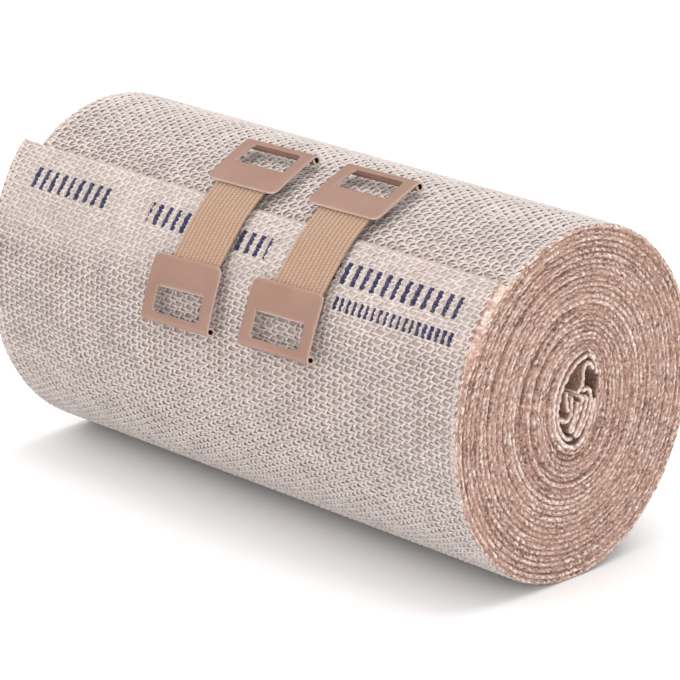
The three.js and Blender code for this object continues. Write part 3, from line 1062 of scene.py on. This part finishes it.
def webbing_line(lower, upper):
    """y and z along the webbing's middle, from inside one plate to inside the other."""
    pocket = (-PLATE_HALF + POCKET_DEEP, -PLATE_HALF + POCKET_MOUTH, -PLATE_HALF)
    knots = []
    for name, order in ((lower, pocket), (upper, pocket[::-1])):
        seat = plate_seat(*PLATES[name])
        ends = [seat @ Vector((0, y, POCKET - y * y / (2 * PLATE_BEND))) for y in order]
        knots.append([(p.y, p.z) for p in ends])
    low_arc, high_arc = PLATES[lower][1] + PLATE_HALF, PLATES[upper][1] - PLATE_HALF
    middle = []
    for share in (0.35, 0.65):
        angle = math.degrees((low_arc + (high_arc - low_arc) * share) / MEAN_RADIUS)
        y, z = wound_place(np.array((CUT_ANGLE - angle) / 360), WEBBING_HEIGHT)
        middle.append((float(y), float(z)))
    return smooth_line(knots[0] + middle + knots[1], 0.2)


def ribbed_webbing(name, middle, lower, upper, seed):
    rng = np.random.default_rng(seed)
    line, places = webbing_line(lower, upper)
    out = square_to(line)
    rows, columns = len(line), RIBS * RIB_POINTS + 1
    across = np.linspace(-1, 1, columns)
    rib = 0.5 + 0.5 * np.cos(np.pi * (across + 1) * RIBS + np.pi)
    stitch_way = np.where((np.arange(columns) // RIB_POINTS) % 2 == 0, 0.0, 0.5)
    stitch_way = places[:, None] / STITCH_PITCH + stitch_way[None, :]
    stitch = 0.5 + 0.5 * np.cos(2 * np.pi * stitch_way)
    edge = np.clip((abs(across) - (1 - SELVEDGE)) / SELVEDGE, 0, 1)
    relief = RIB_RELIEF * rib**0.6 + STITCH_RELIEF * stitch * rib
    relief = relief + FUZZ_RELIEF * rng.normal(0, 1, (rows, columns))
    relief = relief * (1 - edge**2) - SELVEDGE_THINNER * edge**2
    wander = 1 + 0.004 * soft_noise(rng, rows, 2, 14, 1)[:, :1]
    x = middle + WEBBING_HALF * across * wander
    sheets = []
    for way_out in (1, -1):
        height = way_out * (WEBBING_THICK / 2 - RIB_RELIEF - STITCH_RELIEF + relief)
        spot_y = line[:, 0, None] + out[:, 0, None] * height
        spot_z = line[:, 1, None] + out[:, 1, None] * height
        sheets.append(np.stack([x, spot_y, spot_z], 2).reshape(-1, 3))
    top = grid_faces(rows, columns)
    under = grid_faces(rows, columns, rows * columns)[:, ::-1]
    rib = np.broadcast_to(rib, stitch.shape)
    flat = np.broadcast_arrays(across * WEBBING_HALF, places[:, None])
    flat = np.stack(flat, 2).reshape(-1, 2) / ELASTIC_MAP
    piece = cloth_mesh(
        name + "_elastic",
        np.concatenate(sheets),
        np.concatenate([top, under, closing_walls(rows, columns)]),
        [("rib", np.tile(rib.ravel(), 2)), ("stitch", np.tile(stitch.ravel(), 2))],
        np.concatenate([flat + (0.25, 0.02), flat + (0.75, 0.02)]),
    )
    return piece, float(places[-1])


def finish_webbing():
    finish, tree, surface = new_finish(
        "elastic_webbing", roughness=0.85, sheen_weight=0.2, sheen_roughness=0.5
    )
    surface.inputs["Specular IOR Level"].default_value = 0.3
    grain = speckle(tree, 2600, 2, 0.6)
    # Painted shade: the colour is darker in the grooves between the ribs and between the stitches,
    # over the weave's own pattern of ribs and stitches.
    level = reckon(tree, "MULTIPLY", number_on(tree, "rib"), 0.45)
    stitch = reckon(tree, "MULTIPLY", number_on(tree, "stitch"), 0.4)
    level = reckon(tree, "ADD", level, stitch)
    uneven = reckon(tree, "MULTIPLY", reckon(tree, "SUBTRACT", grain, 0.5), 0.5)
    level = reckon(tree, "ADD", level, uneven)
    base = blend_colour(tree, level, ELASTIC_GROOVE_SHADE, ELASTIC_PALE)
    tree.links.new(base, surface.inputs["Base Color"])
    roughen(tree, surface, grain, 0.5, 0.00006)
    return finish


elastic = finish_webbing()
for seed, (node, (middle, lower, upper)) in enumerate(WEBBINGS.items(), 60):
    webbing, length = ribbed_webbing(node, middle, lower, upper, seed)
    webbing.data.materials.append(elastic)
    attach(webbing, "root")
    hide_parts(node)


# The table, the light and the camera. A plain white table, four large soft lights, the strongest
# from above and from the upper left, and an even white surround, as for a catalogue picture.
TABLE_SIZE, TABLE_GAP = 6, 0.0002
bpy.ops.object.select_all(action="DESELECT")
bpy.ops.mesh.primitive_plane_add(size=TABLE_SIZE, location=(0, 0, -TABLE_GAP))
table = bpy.context.object
table.name = "table_top"
table_finish, tree, surface = new_finish("table_white", roughness=0.7)
shade = blend_colour(tree, speckle(tree, 6), (0.90, 0.90, 0.90, 1), (0.93, 0.93, 0.93, 1))
tree.links.new(shade, surface.inputs["Base Color"])
table.data.materials.append(table_finish)

VIEW_AZIMUTH, VIEW_ELEVATION = math.radians(45.184), math.radians(19.124)
CAMERA_AWAY, CAMERA_RIGHT, CAMERA_UP = 551.333, 1.36, -2.397
LENS_PIXELS, FRAME_PIXELS = 3625.656, 680
SENSOR_WIDTH = 36

back = Vector(
    (
        math.sin(VIEW_AZIMUTH) * math.cos(VIEW_ELEVATION),
        -math.cos(VIEW_AZIMUTH) * math.cos(VIEW_ELEVATION),
        math.sin(VIEW_ELEVATION),
    )
)
right = Vector((math.cos(VIEW_AZIMUTH), math.sin(VIEW_AZIMUTH), 0))
up = back.cross(right)
camera_data = bpy.data.cameras.new("photo_camera")
camera_data.sensor_width = SENSOR_WIDTH
camera_data.sensor_fit = "HORIZONTAL"
camera_data.lens = LENS_PIXELS / FRAME_PIXELS * SENSOR_WIDTH
camera_data.clip_start = 0.01
camera = bpy.data.objects.new("photo_camera", camera_data)
bpy.context.scene.collection.objects.link(camera)
spot = back * CAMERA_AWAY + right * CAMERA_RIGHT + up * CAMERA_UP + Vector((0, 0, AXIS_HEIGHT))
camera.matrix_world = Matrix.Translation(spot * MM) @ Matrix((right, up, back)).transposed().to_4x4()
bpy.context.scene.camera = camera


def soft_light(name, place, aim, size, power):
    data = bpy.data.lights.new(name, "AREA")
    data.shape = "DISK"
    data.size = size
    data.energy = power
    light = bpy.data.objects.new(name, data)
    bpy.context.scene.collection.objects.link(light)
    light.location = place
    light.rotation_euler = (Vector(place) - Vector(aim)).to_track_quat("Z", "Y").to_euler()


soft_light("key_light", (-0.6, -0.6, 1.2), (0, 0, 0.02), 1.5, 8)
soft_light("fill_light", (0.9, -0.8, 0.45), (0, 0, 0.03), 0.9, 5)
soft_light("front_light", (-0.2, -1.2, 0.35), (0, 0, 0.02), 0.9, 2)
soft_light("top_light", (0.1, 0.3, 1.3), (0, 0, 0.02), 1.2, 10.5)

world = bpy.data.worlds.new("white_surround")
world.use_nodes = True
surround = world.node_tree.nodes["Background"]
surround.inputs["Color"].default_value = (1, 1, 1, 1)
surround.inputs["Strength"].default_value = 0.75
bpy.context.scene.world = world
bpy.context.scene.view_settings.view_transform = "Standard"
